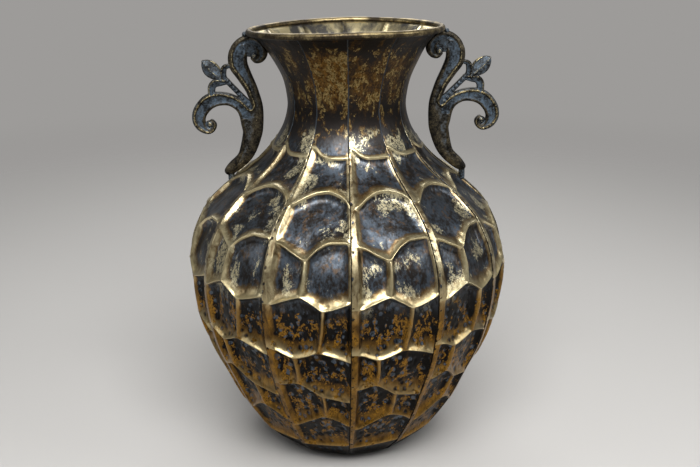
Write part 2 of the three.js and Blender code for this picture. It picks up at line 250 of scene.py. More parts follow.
def mouth_bend(x, z):
    """The mouth isn't level: left of x = 15 mm it hangs down, and all of it stands a bit to the left."""
    full = smooth(z, *MOUTH_LEVELS)
    return -SHIFT * full**2, -SAG * full * (np.maximum(SAG_START - x, 0) / SAG_REACH)**1.15


def bent(points):
    """Points of a finished piece, moved the way the mouth is bent."""
    dx, dz = mouth_bend(points[:, 0], points[:, 2])
    return points + np.stack([dx, np.zeros(len(points)), dz], axis=-1)


print("widest radius %.1f mm" % outline[:, 0].max())

# %% [markdown]
# The mesh of one gore is a grid of columns across it and rows up it. An even grid would need far too many
# points to keep the narrow crests sharp, so the columns crowd together at the rolled edges and the border
# strip, and the rows crowd at each crest.

# %% Columns and rows of the gore's mesh
BODY_WIDTH = 94.0
CELL_ROWS = 46
NECK_ROWS = 64


def gore_columns():
    """Shares of the width, closer together at the rolled edges and at the border strip."""
    left = np.array([0, 0.15, 0.4, 0.8, 1.5]) / BODY_WIDTH
    strip = np.linspace(2.6 / BODY_WIDTH, BORDER - 0.035, 4)
    wall = np.linspace(BORDER - 0.027, BORDER + 0.05, 9)
    field = np.linspace(BORDER + 0.062, 0.955, 62)
    right = 1 - np.array([3.2, 2.4, 1.8, 1.3, 0.8, 0.4, 0.15, 0]) / BODY_WIDTH
    return np.concatenate([left, strip, wall, field, right])


def cell_rows():
    """Shares of a cell's height from the lower crest to the upper one, closer together at both."""
    t = np.linspace(0, 1, CELL_ROWS)
    return t - 0.1 * np.sin(2 * math.pi * t) - 0.03 * np.sin(math.pi * t)**2 * (1 - 2 * t)


share = gore_columns()
print("columns:", len(share))

# %% [markdown]
# The relief. Each cell is a scoop: right under its upper ridge the sheet drops in, then it runs out again
# as a long slope to the crest of the ridge below, like a fish scale. It could be a height map on a plain
# shell, but real depth is what makes the walls catch light and hide dirt. A bead runs along each crest, and
# the hammer left round dimples, deep ones low on the body and faint ones on the shoulder. The numbers that
# push the surface also say where patina stays, so the wear in the material follows the shape.

# %% Relief inside one cell
# Distances over which the sheet drops in, under an upper ridge and at the sides of a cell
DROP_MM = 2.6
WALL_MM = 3.2
# Where the side walls start: this far over the border strip, and this far from the joint
OVER_BORDER = 2.2
OFF_JOINT = 0.8
# How quickly each row of cells deepens above its lower crest
SCOOP_MM = [9.5, 9.5, 9.5, 8.0, 8.0, 7.5, 7.5]
# How far a bead stands out, and its half width
BEAD_MM = 0.8
BEAD_HALF_MM = 1.45
# How far up each cell the rubbed slope reaches, as a share of the cell's height
RUBBED_SHARE = [0.34, 0.32, 0.42, 0.44, 0.46, 0.46, 0.46]
# Height of the ramp over a lower crest, and its paler plating in each row: part polish, part painted
# highlight
RAMP_MM = 7.0
RAMP_SHARE = [0.4, 0.4, 1.0, 1.0, 0.3, 0.0, 0.0]


def rise(distance, reach):
    """From 0 at an edge to 1 inside, steep at first and then flattening out like the side of a bowl."""
    return 1 - np.exp(-(np.maximum(distance, 0) / reach)**1.3)


def between_edges(u, width_mm):
    """From 0 at the border strip and at the joint to 1 in the field between them."""
    left = rise((u - BORDER) * width_mm + OVER_BORDER, WALL_MM)
    return left * rise((1 - u) * width_mm - OFF_JOINT, WALL_MM)


def side_walls(i, u, t, width_mm):
    """How far a point is inside its cell, once for depth and once for patina, and how near a divider."""
    deep = between_edges(u, width_mm)
    soft = 8.0 if i < 3 else 2.0
    stained = smooth((u - BORDER) * width_mm, -1.2, soft)
    if DIVIDERS[i] is None:
        return deep, stained, np.full(u.shape, 99.0)
    top, bottom = DIVIDERS[i]
    middle = bottom + (top - bottom) * t + 0.012 * np.sin(math.pi * t)
    away = np.abs(u - middle) * width_mm
    return deep * rise(away - 0.9, 0.9 * WALL_MM), stained * smooth(away, 1.4, 2.4 + 0.6 * soft), away


def cell_relief(i, u, t, height_mm, width_mm):
    """Depth in millimetres, patina share, bead and ramp at share t of the cell's height."""
    low_edge = t * height_mm
    high_edge = (1 - t) * height_mm
    scoop = 0.12 * t + 0.88 * np.tanh(low_edge / SCOOP_MM[i])
    deep, stained, away = side_walls(i, u, t, width_mm)
    depth = CELL_DEPTH[i] * scoop * rise(high_edge - 0.2, DROP_MM) * deep
    bead = np.exp(-(np.minimum(low_edge, high_edge) / BEAD_HALF_MM)**2)
    rib = 0.8 * np.exp(-(away / BEAD_HALF_MM)**2) * smooth(np.minimum(low_edge, high_edge), 0, 3)
    bead = np.maximum(bead, rib) * smooth((u - BORDER) * width_mm, -3, 1)
    slope = smooth(low_edge, 0.5, RUBBED_SHARE[i] * height_mm)
    # Paler plating on the ramp over the lower crest: partly polish, partly a painted highlight
    ramp = RAMP_SHARE[i] * np.exp(-(low_edge / RAMP_MM)**2) * smooth(away, 1, 6)
    return depth, stained * slope * smooth(high_edge, 0.5, 2.0), bead, ramp


print("deepest cell %.1f mm" % max(CELL_DEPTH))

# %% [markdown]
# Hammer marks and weld pits. The marks come from planishing over a stake and lie about a hammer face apart,
# never quite in rows. A noise texture would give lumps with no edge, so each mark gets its own place, size
# and depth from a seeded random draw. The pits sit along the joint, where the welder's torch burnt through.

# %% Hammer marks and rows
DIMPLE_SPACING = 8.6
DIMPLE_SIZES = (2.4, 4.4)
DIMPLE_SHIFT = 3.5
DIMPLE_SHARE = 0.8
# Between these heights the marks get shallower, by this share
FADE_LEVELS = (205, 235)
DIMPLE_FADE = 0.74
PIT_SIZES = (0.8, 1.6)
PIT_SPACING = (7, 17)


def dimple_list(seed):
    """Hammer marks over the developed gore, as places on a shaken grid in millimetres."""
    rng = np.random.default_rng(seed)
    marks = []
    for across in np.arange(11, 92, DIMPLE_SPACING):
        for height in np.arange(14, 345, DIMPLE_SPACING):
            size = rng.uniform(*DIMPLE_SIZES)
            place = (across + rng.uniform(-DIMPLE_SHIFT, DIMPLE_SHIFT),
                     height + rng.uniform(-DIMPLE_SHIFT, DIMPLE_SHIFT))
            if rng.random() < DIMPLE_SHARE:
                marks.append((*place, size, 0.3 * size * rng.uniform(0.5, 1.0)))
    return marks


def pit_list(rng):
    """Small burnt pits that the welder left on the border strip, near the joint."""
    height = 22.0
    pits = []
    while height < 470:
        pits.append((rng.uniform(0.5, 2.4), height, rng.uniform(*PIT_SIZES)))
        height += rng.uniform(*PIT_SPACING)
    return pits


def gore_rows(pattern):
    """Every row of the gore as heights at each column, with its cell and its share of that cell's height."""
    rows = []
    last = len(RIDGES) - 1
    top = ridge_height(last, pattern)
    for step in np.concatenate([[0, 0.05, 0.1, 0.16], np.linspace(0.24, 0.95, 10)]):
        rows.append((MERIDIAN[0][0] + step * (top - MERIDIAN[0][0]), last, None))
    for i in range(last - 1, -1, -1):
        low = ridge_height(i + 1, pattern)
        high = ridge_height(i, pattern)
        for t in cell_rows()[:-1]:
            rows.append((low + (high - low) * t, i, t))
    low = ridge_height(0, pattern)
    for t in np.linspace(0, 1, NECK_ROWS):
        rows.append((low + (MERIDIAN[-1][0] - low) * t, -1, t))
    return rows


print("hammer marks on a gore:", len(dimple_list(1)))

# %% [markdown]
# The gores came out of one die but were set by hand, so each one's pattern sits a little differently. From
# the foot up, its rows cross a low band, the cells and the plain neck, and each row gets its relief and its
# wear. One formula for all of them would be hard to steer, so each of the three has its own.

# %% Rows of relief and wear
FOOT_DEPTH = 2.4
# Sideways shift of the pattern in the two front gores, as a share of the width
SHIFTS = {1: -0.0025, 12: 0.0375}
LARGEST_SHIFT = 0.015
# How much of the plating shows in the lower rows of cells, by share of the cell's height
CELL_WEAR = [(0.05, 0.2), (0.3, 0.42), (0.6, 0.18), (0.85, 0)]


def shifted(number, rng):
    """Where in the die's pattern each column of a gore lies: the set number of the gore, or a drawn one."""
    drawn = rng.uniform(-LARGEST_SHIFT, LARGEST_SHIFT, 2).mean()
    return share - SHIFTS.get(number, drawn) * np.sin(math.pi * share)**2


def shape_rows(rows, pattern, width):
    """Relief, patina, crest, ramp and bare plating over the gore, row by row."""
    relief, patina, crest, ramp, bare = np.zeros((5, len(rows), len(share)))
    last = len(RIDGES) - 1
    for k, (z, cell, t) in enumerate(rows):
        if cell == last:
            below = ridge_height(last, pattern) - z
            foot = FOOT_DEPTH * smooth(z, 4, 12)
            relief[k] = foot * rise(below, DROP_MM) * between_edges(share, width[k])
            patina[k] = smooth(below, 0.8, 3.0)
            crest[k] = np.exp(-(below / BEAD_HALF_MM)**2)
        elif cell >= 0:
            span = ridge_height(cell, pattern) - ridge_height(cell + 1, pattern)
            at = np.full(share.shape, t)
            relief[k], patina[k], crest[k], ramp[k] = cell_relief(cell, pattern, at, span, width[k])
            bare[k] = blend(CELL_WEAR, t) * (cell > 2) * (1 - 0.7 * ramp[k])
        else:
            above = z - ridge_height(0, pattern)
            crest[k] = np.exp(-(above / BEAD_HALF_MM)**2)
            strip = smooth(share, BORDER + 0.05, BORDER - 0.03) * smooth(z, 378, 360)
            patina[k] = smooth(above, 0.5, 5) * (1 - 0.9 * strip)
    return relief, patina, crest, ramp, bare


print("largest shift of a pattern %.1f mm" % (max(SHIFTS.values()) * BODY_WIDTH))

# %% [markdown]
# The skin is laid out on the turned outline and pushed in along its normal by the relief. Then come the
# hammer marks in the cells, the pits beside the joint, the rolled edges and the bead on each crest. It could
# be one skin used twelve times, but each gore was hammered and rubbed on its own.

# %% Skin of one gore
# Radius of the rolled edge beside a joint, and how deep the lip on its left side sinks in
CORNER = 1.1
LIP_LEVEL = 1.0
# How much of the plating shows on each gore's neck, and how that changes with height
NECK_BARE = {12: 1.18, 1: 0.68, 11: 0.62, 2: 0.62, 10: 0.45, 3: 0.5}
NECK_WEAR = [(364, 0), (374, 0.12), (386, 0.1), (400, 0.5), (410, 0.8), (448, 0.78), (458, 0.4), (467, 0)]


def stamped_marks(marks, across, height):
    """Round marks added up over the gore: how near the middle of one, and how deep."""
    nearest = np.zeros(height.shape)
    depth = np.zeros(height.shape)
    for x, z, size, deep in marks:
        near = np.abs(height - z).min(axis=1) < size
        place = ((across[near] - x)**2 + (height[near] - z)**2) / size**2
        mark = np.clip(1 - place, 0, 1)
        nearest[near] = np.maximum(nearest[near], mark)
        depth[near] += deep * mark
    return nearest, depth


def gore_skin(number):
    """Grids over rows and columns: height, radius, normal, depth, and the wear numbers for the material."""
    rng = np.random.default_rng(100 + number)
    pattern = shifted(number, rng)
    rows = gore_rows(pattern)
    height = np.array([row[0] for row in rows])
    radius, nr, nz = skin_at(height)
    width = radius * 2 * HALF_GORE
    relief, patina, crest, ramp, bare = shape_rows(rows, pattern, width)
    across = share * width
    in_cell = smooth(relief, 0.6, 2.4)
    dimple, depth = stamped_marks(dimple_list(number), across, height)
    dimple = dimple * in_cell
    relief = relief + depth * in_cell * (1 - DIMPLE_FADE * smooth(height, *FADE_LEVELS))
    burnt, depth = stamped_marks([(*pit, 0.5 * pit[2]) for pit in pit_list(rng)], across, height)
    relief = relief + depth
    to_right = (1 - share) * width
    patina = patina * (1 - smooth(to_right, 4.0, 1.8) * smooth(height, 205, 250) * smooth(height, 358, 350))
    patina = np.maximum(patina, 1.8 * burnt)
    bare = bare + blend(NECK_WEAR, height) * NECK_BARE.get(number, 0.6) * (height > 340)
    bare = bare * (burnt < 0.1)
    to_seam = np.minimum(share, 1 - share) * width
    roll = CORNER * (1 - np.sqrt(np.clip(1 - (1 - np.clip(to_seam / CORNER, 0, 1))**2, 0, 1)))
    lip = LIP_LEVEL * smooth(to_right, 4.5, 0.5) * smooth(height, 360, 335)
    relief = relief + roll + lip - BEAD_MM * crest
    return {"height": height, "radius": radius, "nr": nr, "nz": nz, "relief": relief, "patina": patina,
            "dimple": dimple, "crest": crest, "edge": to_seam, "ramp": ramp, "bare": bare,
            "gore": np.full(height.shape, 0.37 * number)}


skin = gore_skin(1)
print("deepest relief %.1f mm, rows %d" % (skin["relief"].max(), len(skin["relief"])))

# %% [markdown]
# The sheet is 1.2 mm thick at the rim, where its edge shows. Lower down only the outside can be seen, so
# the inner side simply keeps clear of the deep cells. Outer skin, flanges and inner side make one closed
# loop for each row. Between its seams a gore is nearly flat at the foot and full at the belly.

# %% Loop around the sheet
INNER_SHARES = 9
# How much further in the inner side lies on the body
INNER_DEPTH = 9.0
# The weld closed the joints, so no light comes through them
SEAM_GAP = 0.02


def turned(radius, height, angle):
    """Points from their distance to the axis, height and angle."""
    return np.stack([radius * np.cos(angle), radius * np.sin(angle), height], axis=-1)


def flattened(radius, height, angle):
    """The skin's radius at an angle from the middle of the gore, by how flat or full the gore is there."""
    chord = math.cos(HALF_GORE) / np.cos(angle)
    return radius * (chord + blend(FULLNESS, height) * (1 - chord))


def skin_point(height, radius, nr, nz, u, inward):
    """A point of the gore, inward millimetres under the skin, before the gore is turned to its place."""
    angle = (u - 0.5) * (2 * HALF_GORE - SEAM_GAP / radius)
    return turned(flattened(radius, height, angle) - inward * nr, height - inward * nz, angle)


def ring_row(*row):
    """One closed loop around the sheet, from height, radius, normal and relief along a row of the skin."""
    *line, relief = row
    height, radius = line[:2]
    middle = float(np.mean(height))
    thick = SHEET + INNER_DEPTH * float(smooth(middle, 362, 345)) * float(smooth(middle, 4, 14))
    flange = FLANGE * float(smooth(middle, 445, 400)) * float(smooth(middle, 3, 16))
    deep = max(SHEET + 0.4, flange, thick + 0.1)
    edge = SHEET / (2 * HALF_GORE * radius.mean())
    inner_u = np.linspace(1 - edge, edge, INNER_SHARES)
    at = [np.interp(inner_u, share, values) for values in line]
    flanges = []
    for outer_end, inner_end, u in ((-1, 0, 1.0), (0, -1, 0.0)):
        flanges.append([skin_point(*(values[outer_end] for values in line), u, deep),
                        skin_point(*(values[inner_end] for values in at), inner_u[inner_end], deep + 0.01)])
    right, left = flanges
    return np.vstack([skin_point(*line, share, relief), right, skin_point(*at, inner_u, thick), left[::-1]])


print("joints between the gores are %.2f mm wide" % SEAM_GAP)

# %% [markdown]
# The loops join into a tube. The turned-in foot and a face over each end close it, which leaves no open edge
# anywhere. Every point keeps its wear, and those on the hidden side are marked as inside.

# %% Gore as a closed sheet
# The turned-in foot: its height, and the radii of its loops
FOOT_HEIGHT = 2.8
FOOT_STEPS = (66.0, 72.0, 78.0)
WEAR = ("patina", "dimple", "crest", "edge", "ramp", "bare", "gore")


def foot_loops():
    """The foot of the gore, turned in flat over the base disc."""
    u = np.concatenate([share, [1, 1], np.linspace(1, 0, INNER_SHARES), [0, 0]])
    height = np.full(len(u), FOOT_HEIGHT)
    height[len(share):] += SHEET
    return [skin_point(height, radius, 0, 0, u, 0) for radius in FOOT_STEPS]


def tube_faces(loops, count):
    """Quads between neighbouring loops, and one face over each end."""
    ends = [tuple(range(count))[::-1], tuple(range((loops - 1) * count, loops * count))]
    return grid_faces(loops, count) + ends


def gore_arrays(number):
    """All loops of a gore, and the numbers for the material at each of their points."""
    grids = gore_skin(number)
    lines = zip(*(grids[key] for key in ("height", "radius", "nr", "nz", "relief")))
    loops = foot_loops() + [ring_row(*line) for line in lines]
    hidden = ((len(FOOT_STEPS), 0), (0, len(loops[0]) - len(share)))
    values = {key: np.pad(grids[key], hidden) for key in WEAR}
    values["inside"] = np.pad(np.zeros(grids["edge"].shape), hidden, constant_values=1)
    return np.array(loops), values


print("points around a gore:", len(foot_loops()[0]))

# %% [markdown]
# Twelve gores stand around the axis, each worked out with its own wear and turned to its place. Copies of
# one mesh would be lighter, but then the same stain would show twelve times. The mouth is bent last, on the
# finished ring of gores, as it happened to the real one.

# %% Twelve gores around the axis
gores = []
for number in range(1, GORE_COUNT + 1):
    loops, values = gore_arrays(number)
    turn = math.radians(-90) + (number - 0.5) * 2 * HALF_GORE
    flat = loops.reshape(-1, 3)
    x = flat[:, 0] * math.cos(turn) - flat[:, 1] * math.sin(turn)
    y = flat[:, 0] * math.sin(turn) + flat[:, 1] * math.cos(turn)
    node = "gore_%02d" % number
    points = bent(np.stack([x, y, flat[:, 2]], axis=-1))
    piece = mesh_object("pressed_" + node, points, tube_faces(*loops.shape[:2]), values)
    gores.append(hand_over(piece, node))
print("gores:", len(gores), "of", len(gores[0].data.vertices), "points")

# %% [markdown]
# The handles are flat castings, made in a two-part sand mould, so both faces are the same relief. They
# could be curves with a bevel, but a bevelled curve has the same section all along, and here ridges,
# channels and leaves run into each other. So the pattern maker's drawing is kept as a set of strokes that
# change width. A grid is laid over them: the distance to the strokes' edge gives the outline, and the place
# across each stroke gives the height. That is how a relief is carved, and it leaves crisp lines where one
# form meets another.

# %% Strokes of a handle
# Distance from the vase's axis, height and width of each stroke's points, in millimetres
STEM = [
    (133, 318, 9.5), (127.5, 322.3, 13), (116.5, 332, 14.8), (110.3, 343, 18.3), (105.3, 360, 21.3),
    (104.2, 371.5, 22.5), (100.6, 384, 16), (99.7, 393, 12.2), (103, 404, 12.8), (106.1, 412.1, 13.6),
    (113.6, 426.4, 16.8), (118.7, 437, 20.3), (118.8, 446.5, 20.6), (115.5, 453, 19),
]
TOP_CURL = [
    (123, 447, 12), (119.6, 454.5, 12), (113.5, 460, 12), (106, 462.3, 12), (98.5, 460.3, 12.5),
    (92.9, 454.3, 12.3), (92.2, 447.5, 11.2), (94.6, 442.7, 8.4), (99, 441.2, 6.5), (102.6, 443.6, 4.6),
]
BRANCH = [
    (108, 379, 14), (117.2, 390.8, 13.6), (126, 396.8, 13.2), (134.5, 399, 14), (145, 398.6, 15.8),
    (154.3, 394.3, 16.6), (161.7, 385.5, 16), (164.2, 377, 14.5), (162.5, 370.2, 12.2), (158.3, 365.4, 9.2),
    (153.3, 363.4, 6.8), (148.9, 365.8, 6), (147.6, 370.3, 5.6), (150, 373.8, 4.8),
]
BUD = [(139.5, 422, 7), (143.6, 426.6, 13.5), (148.4, 431, 17), (152.2, 435.2, 12.6), (155, 438.2, 6.4),
       (157.4, 440.4, 1.6)]
UPPER_PETAL = [(133.6, 418.6, 6), (135.6, 424, 7), (135.2, 429.6, 6.6), (133.4, 433.6, 5.8), (129, 435, 4.6)]
LOWER_PETAL = [(133.6, 417.6, 6), (139, 417, 7.6), (144.6, 416.2, 8.6), (148.2, 412.4, 8.4),
               (149, 406.6, 7.6), (149, 402, 7)]
BEAD_BAR = [(134, 421, 5.6), (119.6, 405.8, 5.4), (110, 394.4, 7.6), (105.5, 388.5, 8.5)]
BEAD_ENDS = ((131, 419.2), (108.6, 391.8))
BEAD_COUNT = 8
# Round webs that fill the scrolls, and the eyes on them: centre and radius
WEBS = ((105.5, 453.8, 8.8), (152.5, 369.6, 5.2))
EYES = ((100.8, 446.2, 3.1), (151.8, 371.6, 3.4))


def stroke_field(points, x, z):
    """Distance to a stroke's edge (negative inside), side of its middle line, half width, share of length."""
    line = spline(points, 14 * len(points))
    ahead = np.gradient(line[:, :2], axis=0)
    ahead = ahead / np.linalg.norm(ahead, axis=1, keepdims=True)
    dx = x[:, None] - line[:, 0]
    dz = z[:, None] - line[:, 1]
    gap = np.hypot(dx, dz) - line[:, 2] / 2
    k = gap.argmin(axis=1)
    row = np.arange(len(x))
    side = ahead[k, 0] * dz[row, k] - ahead[k, 1] * dx[row, k]
    half = line[k, 2] / 2
    return gap[row, k], side / half, half, k / (len(line) - 1)


print("strokes:", len([STEM, TOP_CURL, BRANCH, BUD, UPPER_PETAL, LOWER_PETAL, BEAD_BAR]))

# %% [markdown]
# Across a stroke the casting rises over a round shoulder to a ridge, then drops into a channel. The ridge
# lies further in on the stem than on the branch. The same ridge is where the cloth rubbed through to the
# brass, and the channel is where the blue wash settled, so both are kept as numbers for the material.

# %% Section of a stroke
# Half thickness at the edge of the casting and on its highest ridge
EDGE_HALF = 2.6
RIDGE_HALF = 5.0


def band(inset, ridge, top, floor, spread):
    """Half thickness across one side of a stroke, and how near the ridge is."""
    t = np.clip(inset / ridge, 0, 1)
    shoulder = EDGE_HALF + (top - EDGE_HALF) * (0.6 * np.sqrt(1 - (1 - t)**2) + 0.4 * t)
    fall = floor + (top - floor) * np.exp(-((inset - ridge) / spread)**2)
    return np.where(inset < ridge, shoulder, fall), np.exp(-((inset - ridge) / 0.9)**2)


print("ridge to ridge %.1f mm thick" % (2 * RIDGE_HALF))

# %% [markdown]
# The stem, the branch and the curl run into each other. Cut where they meet, they would leave a crease, so
# each point takes a share of all three, and a fillet fills the corner between them. The round webs that fill
# the scrolls lie a little lower.

# %% Scrolls of a handle
# Reach of the fillet where the branch leaves the stem, on its upper and its lower side
FILLETS = (6.0, 13.0)
# On the stem: height, and how far in from its outer and its inner edge the ridges lie
OUTER_RIDGE = [(318, 5.5), (340, 3), (358, 1.6), (380, 1.8), (395, 4.0), (440, 4.4), (470, 3.6)]
INNER_RIDGE = [(318, 6.5), (345, 8.5), (372, 8), (392, 2.9), (440, 2.6)]
# The same on the curl and on the branch
OUTER_INSETS = (3.3, 2.8)
INNER_INSETS = (1.8, 1.7)
# Half thickness in the channel: by height on the stem, then on the curl and on the branch
CHANNEL = [(318, 4.8), (335, 4.3), (355, 3.6), (400, 3.3)]
CHANNEL_REST = (3.5, 3.3)
# Half thickness on the inner ridge of the stem, the curl and the branch
INNER_TOPS = (4.8, 4.1, 4.1)
WEB_HALF = 3.4
WEB_WASH = 0.85


def round_gap(x, z, circles):
    return np.min([np.hypot(x - cx, z - cz) - radius for cx, cz, radius in circles], axis=0)


def joined(a, b, reach):
    """The nearer of two distances, with the corner between the two forms filled by a fillet."""
    near = np.maximum(reach - np.abs(a - b), 0) / reach
    return np.minimum(a, b) - near**2 * reach / 4


def scrolls(x, z):
    """Stem, branch and curl as one form: edge distance, half thickness, brass share and wash share."""
    stem, stem_side, stem_half, _ = stroke_field(STEM, x, z)
    curl, curl_side, curl_half, _ = stroke_field(TOP_CURL, x, z)
    branch, branch_side, branch_half, _ = stroke_field(BRANCH, x, z)
    reach = FILLETS[0] + (FILLETS[1] - FILLETS[0]) * smooth(branch_side, 0.6, -0.6)
    edge = np.minimum(np.minimum(joined(stem, branch, reach), curl), round_gap(x, z, WEBS))
    inset = np.maximum(-edge, 0)
    on_branch = smooth(stem - branch, -1.5, 1.5)
    on_curl = smooth(stem - curl, -1.5, 1.5) * (1 - on_branch)
    on_stem = 1 - on_branch - on_curl
    shares = (on_stem, on_curl, on_branch)

    def mixed(*values):
        return sum(part * value for part, value in zip(shares, values))

    half = mixed(stem_half, curl_half, branch_half)
    outer = smooth(mixed(-stem_side, -curl_side, branch_side), -0.25, 0.25)
    out_ridge = np.minimum(mixed(blend(OUTER_RIDGE, z), *OUTER_INSETS), 0.6 * half)
    in_ridge = np.minimum(mixed(blend(INNER_RIDGE, z), *INNER_INSETS), 0.6 * half + 1.5 * on_stem)
    floor = mixed(blend(CHANNEL, z), *CHANNEL_REST)
    out_high, out_near = band(inset, out_ridge, RIDGE_HALF, floor, 1.8)
    in_high, in_near = band(inset, in_ridge, mixed(*INNER_TOPS), floor, 2.4)
    high = in_high + (out_high - in_high) * outer
    low_stem = on_stem * smooth(z, 392, 376)
    rubbed = outer * out_near * (1 - 0.65 * low_stem) * (1 - 0.85 * on_curl)
    rubbed = rubbed + (1 - outer) * in_near * (0.22 + 0.3 * low_stem)
    bevel = outer * smooth(out_ridge - inset, 0.3, 1.5)
    wash = outer * smooth(inset - out_ridge, 0.6, 2.2) + (1 - outer) * smooth(inset - in_ridge, -0.6, 2.0)
    wash = wash + bevel * (0.75 * on_branch + 0.35 * on_curl)
    wash = wash * (1 - low_stem * (1 - 0.95 * outer)) * (1 - 0.35 * on_stem * smooth(z, 432, 400))
    in_web = smooth(np.minimum(np.minimum(stem, curl), branch) - round_gap(x, z, WEBS), -1.5, 1.0)
    high = high + (WEB_HALF - high) * in_web
    return edge, high, rubbed * (1 - in_web), wash + (WEB_WASH - wash) * in_web


middle_of_stem = scrolls(np.array([104.5]), np.array([365.0]))
print("stem %.1f mm thick in its channel" % (2 * middle_of_stem[1][0]))

# %% [markdown]
# The petals, the bud, the beaded bar and the eyes lie over the scrolls. They could be meshes of their own,
# but the real ones are one casting. So each form takes over the surface wherever it stands higher, and
# brings its own share of brass and wash.

# %% Relief of a handle
def laid_over(form, over, gap, height, rubbed, wash):
    """A form with another one laid over it: edge distance, half thickness, brass share and wash share."""
    edge, *old = form
    new = [np.where(over, fresh, plain) for fresh, plain in zip((height, rubbed, wash), old)]
    return [np.minimum(edge, gap)] + new


def handle_relief(x, z):
    """Edge distance, half thickness, brass share and wash share at each point of the pattern's plane."""
    form = scrolls(x, z)
    for points, outward in ((UPPER_PETAL, -1), (LOWER_PETAL, 1)):
        gap, side, _, _ = stroke_field(points, x, z)
        outer = smooth(side * outward, -0.2, 0.5)
        high, near = band(np.maximum(-gap, 0), 1.5, 3.4 + 1.3 * outer, 3.2, 2.0)
        over = (high > form[1]) & (gap < 0.6) | (gap < form[0])
        form = laid_over(form, over, gap, high, 0.75 * near * outer, 1 - 0.6 * near * outer)
    gap, side, _, along = stroke_field(BUD, x, z)
    facet = np.where(side > -0.15, (side + 0.15) / 1.15, (-0.15 - side) / 0.85)
    rim = smooth(side, 0.72, 0.92)
    high = EDGE_HALF - 0.2 + 2.8 * (1 - np.clip(facet, 0, 1)) + 0.7 * rim
    over = (high > form[1]) & (gap < 0.6) | (gap < form[0])
    spine = np.exp(-(facet / 0.13)**2)
    leaf = 0.62 * spine + 0.7 * rim + 0.3 * smooth(along, 0.7, 1) + 0.14 * (side > -0.15)
    form = laid_over(form, over, gap, high, leaf, 0.85)
    gap = stroke_field(BEAD_BAR, x, z)[0]
    over = (gap < form[0]) | (EDGE_HALF + 0.3 > form[1]) & (gap < 0.6)
    form = laid_over(form, over, gap, EDGE_HALF + 0.3 * smooth(-gap, 0, 1), 0.1, 1.0)
    share_k = np.arange(BEAD_COUNT) / (BEAD_COUNT - 1)
    beads = [(*[a + (b - a) * k for a, b in zip(*BEAD_ENDS)], 2.1 - 0.4 * k, 4.3) for k in share_k]
    for cx, cz, radius, top in beads + [(*eye, 5.5) for eye in EYES]:
        away = np.hypot(x - cx, z - cz) / radius
        groove = 1.3 * np.exp(-((away * radius - radius - 0.8) / 0.8)**2) * (top > 5)
        form[1] = form[1] - groove * smooth(form[1], 3.0, 3.6)
        form[2] = form[2] * (1 - smooth(groove, 0.2, 0.8))
        dome = 2.9 + (top - 2.9) * np.sqrt(np.clip(1 - away**2, 0, 1))
        over = (away < 1) & (dome > form[1])
        rubbed = 0.35 * (top > 5) + 0.5 * (1 - away**2)
        form = laid_over(form, over, (away - 1) * radius, dome, rubbed, 0.9)
    edge, height, rubbed, wash = form
    return edge, np.maximum(height, EDGE_HALF - 0.3), np.clip(rubbed, 0, 1), np.clip(wash, 0, 1)


middle_of_bud = handle_relief(np.array([148.4]), np.array([431.0]))
print("bud %.1f mm thick" % (2 * middle_of_bud[1][0]))

# %% [markdown]
# The two castings came out of one mould, but the right one was brazed on 4.5 mm higher and leans out a
# little, so each handle's points are worked out in place, and looked up in the pattern. The curl is cut
# back where the flare and the ring are, which leaves the fit that a file would leave.

# %% Handle in its place
RING_RADIUS = 104.65
RING_HEIGHT = 476.5
ROD_RADIUS = 3.5
# Clear space between a handle and the flare, and between a handle and the ring
CLEARANCE = 0.8
RING_GAP = 0.3
LEAN_CENTRE = (110, 440)
# How much higher than the pattern each handle sits, how far it leans out, and its side of the vase
PLACES = {"right": (4.5, math.radians(1.5), 1), "left": (0, 0, -1)}


def ring_centre(sign):
    """Where the bent ring's rod passes a handle: distance from the axis and height."""
    dx, dz = mouth_bend(sign * RING_RADIUS, RING_HEIGHT)
    return RING_RADIUS + sign * dx, RING_HEIGHT + dz


def in_pattern(x, z, place):
    """A point of the placed handle, moved back into the pattern's plane."""
    rise, lean, _ = place
    dx = x - LEAN_CENTRE[0]
    dz = z - LEAN_CENTRE[1] - rise
    return (LEAN_CENTRE[0] + dx * math.cos(lean) - dz * math.sin(lean),
            LEAN_CENTRE[1] + dz * math.cos(lean) + dx * math.sin(lean))


def placed_relief(x, z, place):
    """The relief of a placed handle, cut clear of the flare and of the ring."""
    edge, height, rubbed, wash = handle_relief(*in_pattern(x, z, place))
    sign = place[2]
    dx, dz = mouth_bend(sign * x, z)
    radius, nr, _ = skin_at(np.minimum(z - dz, MERIDIAN[-1][0]))
    flare = (radius + CLEARANCE - x + sign * dx) * nr
    ring_x, ring_z = ring_centre(sign)
    ring = ROD_RADIUS + RING_GAP - np.hypot(x - ring_x, z - ring_z)
    return np.maximum(edge, np.maximum(flare, ring)), height, rubbed, wash


print("the rod passes the right handle %.1f mm from the axis" % ring_centre(1)[0])

# %% [markdown]
# A handle's mesh is a fine grid. Its points outside the outline are dropped, and those on the border are
# moved onto it along the distance field. A boolean could cut the outline too, but it leaves slivers. Front
# and back are the same grid, joined by faces around the border.

# %% Handle mesh
GRID_MM = 0.55
# The grid's span away from the axis and in height
GRID_SPAN = ((84.5, 174.5), (311.5, 477.5))
# A small step, in millimetres, to measure the slope of the distance field
PROBE = 0.05


def snapped(x, z, place):
    """Border points moved along the distance field onto the true outline."""
    for _ in range(4):
        edge = placed_relief(x, z, place)[0]
        gx = (placed_relief(x + PROBE, z, place)[0] - edge) / PROBE
        gz = (placed_relief(x, z + PROBE, place)[0] - edge) / PROBE
        size = np.maximum(gx**2 + gz**2, 0.25)
        x = x - 0.8 * edge * gx / size
        z = z - 0.8 * edge * gz / size
    return x, z


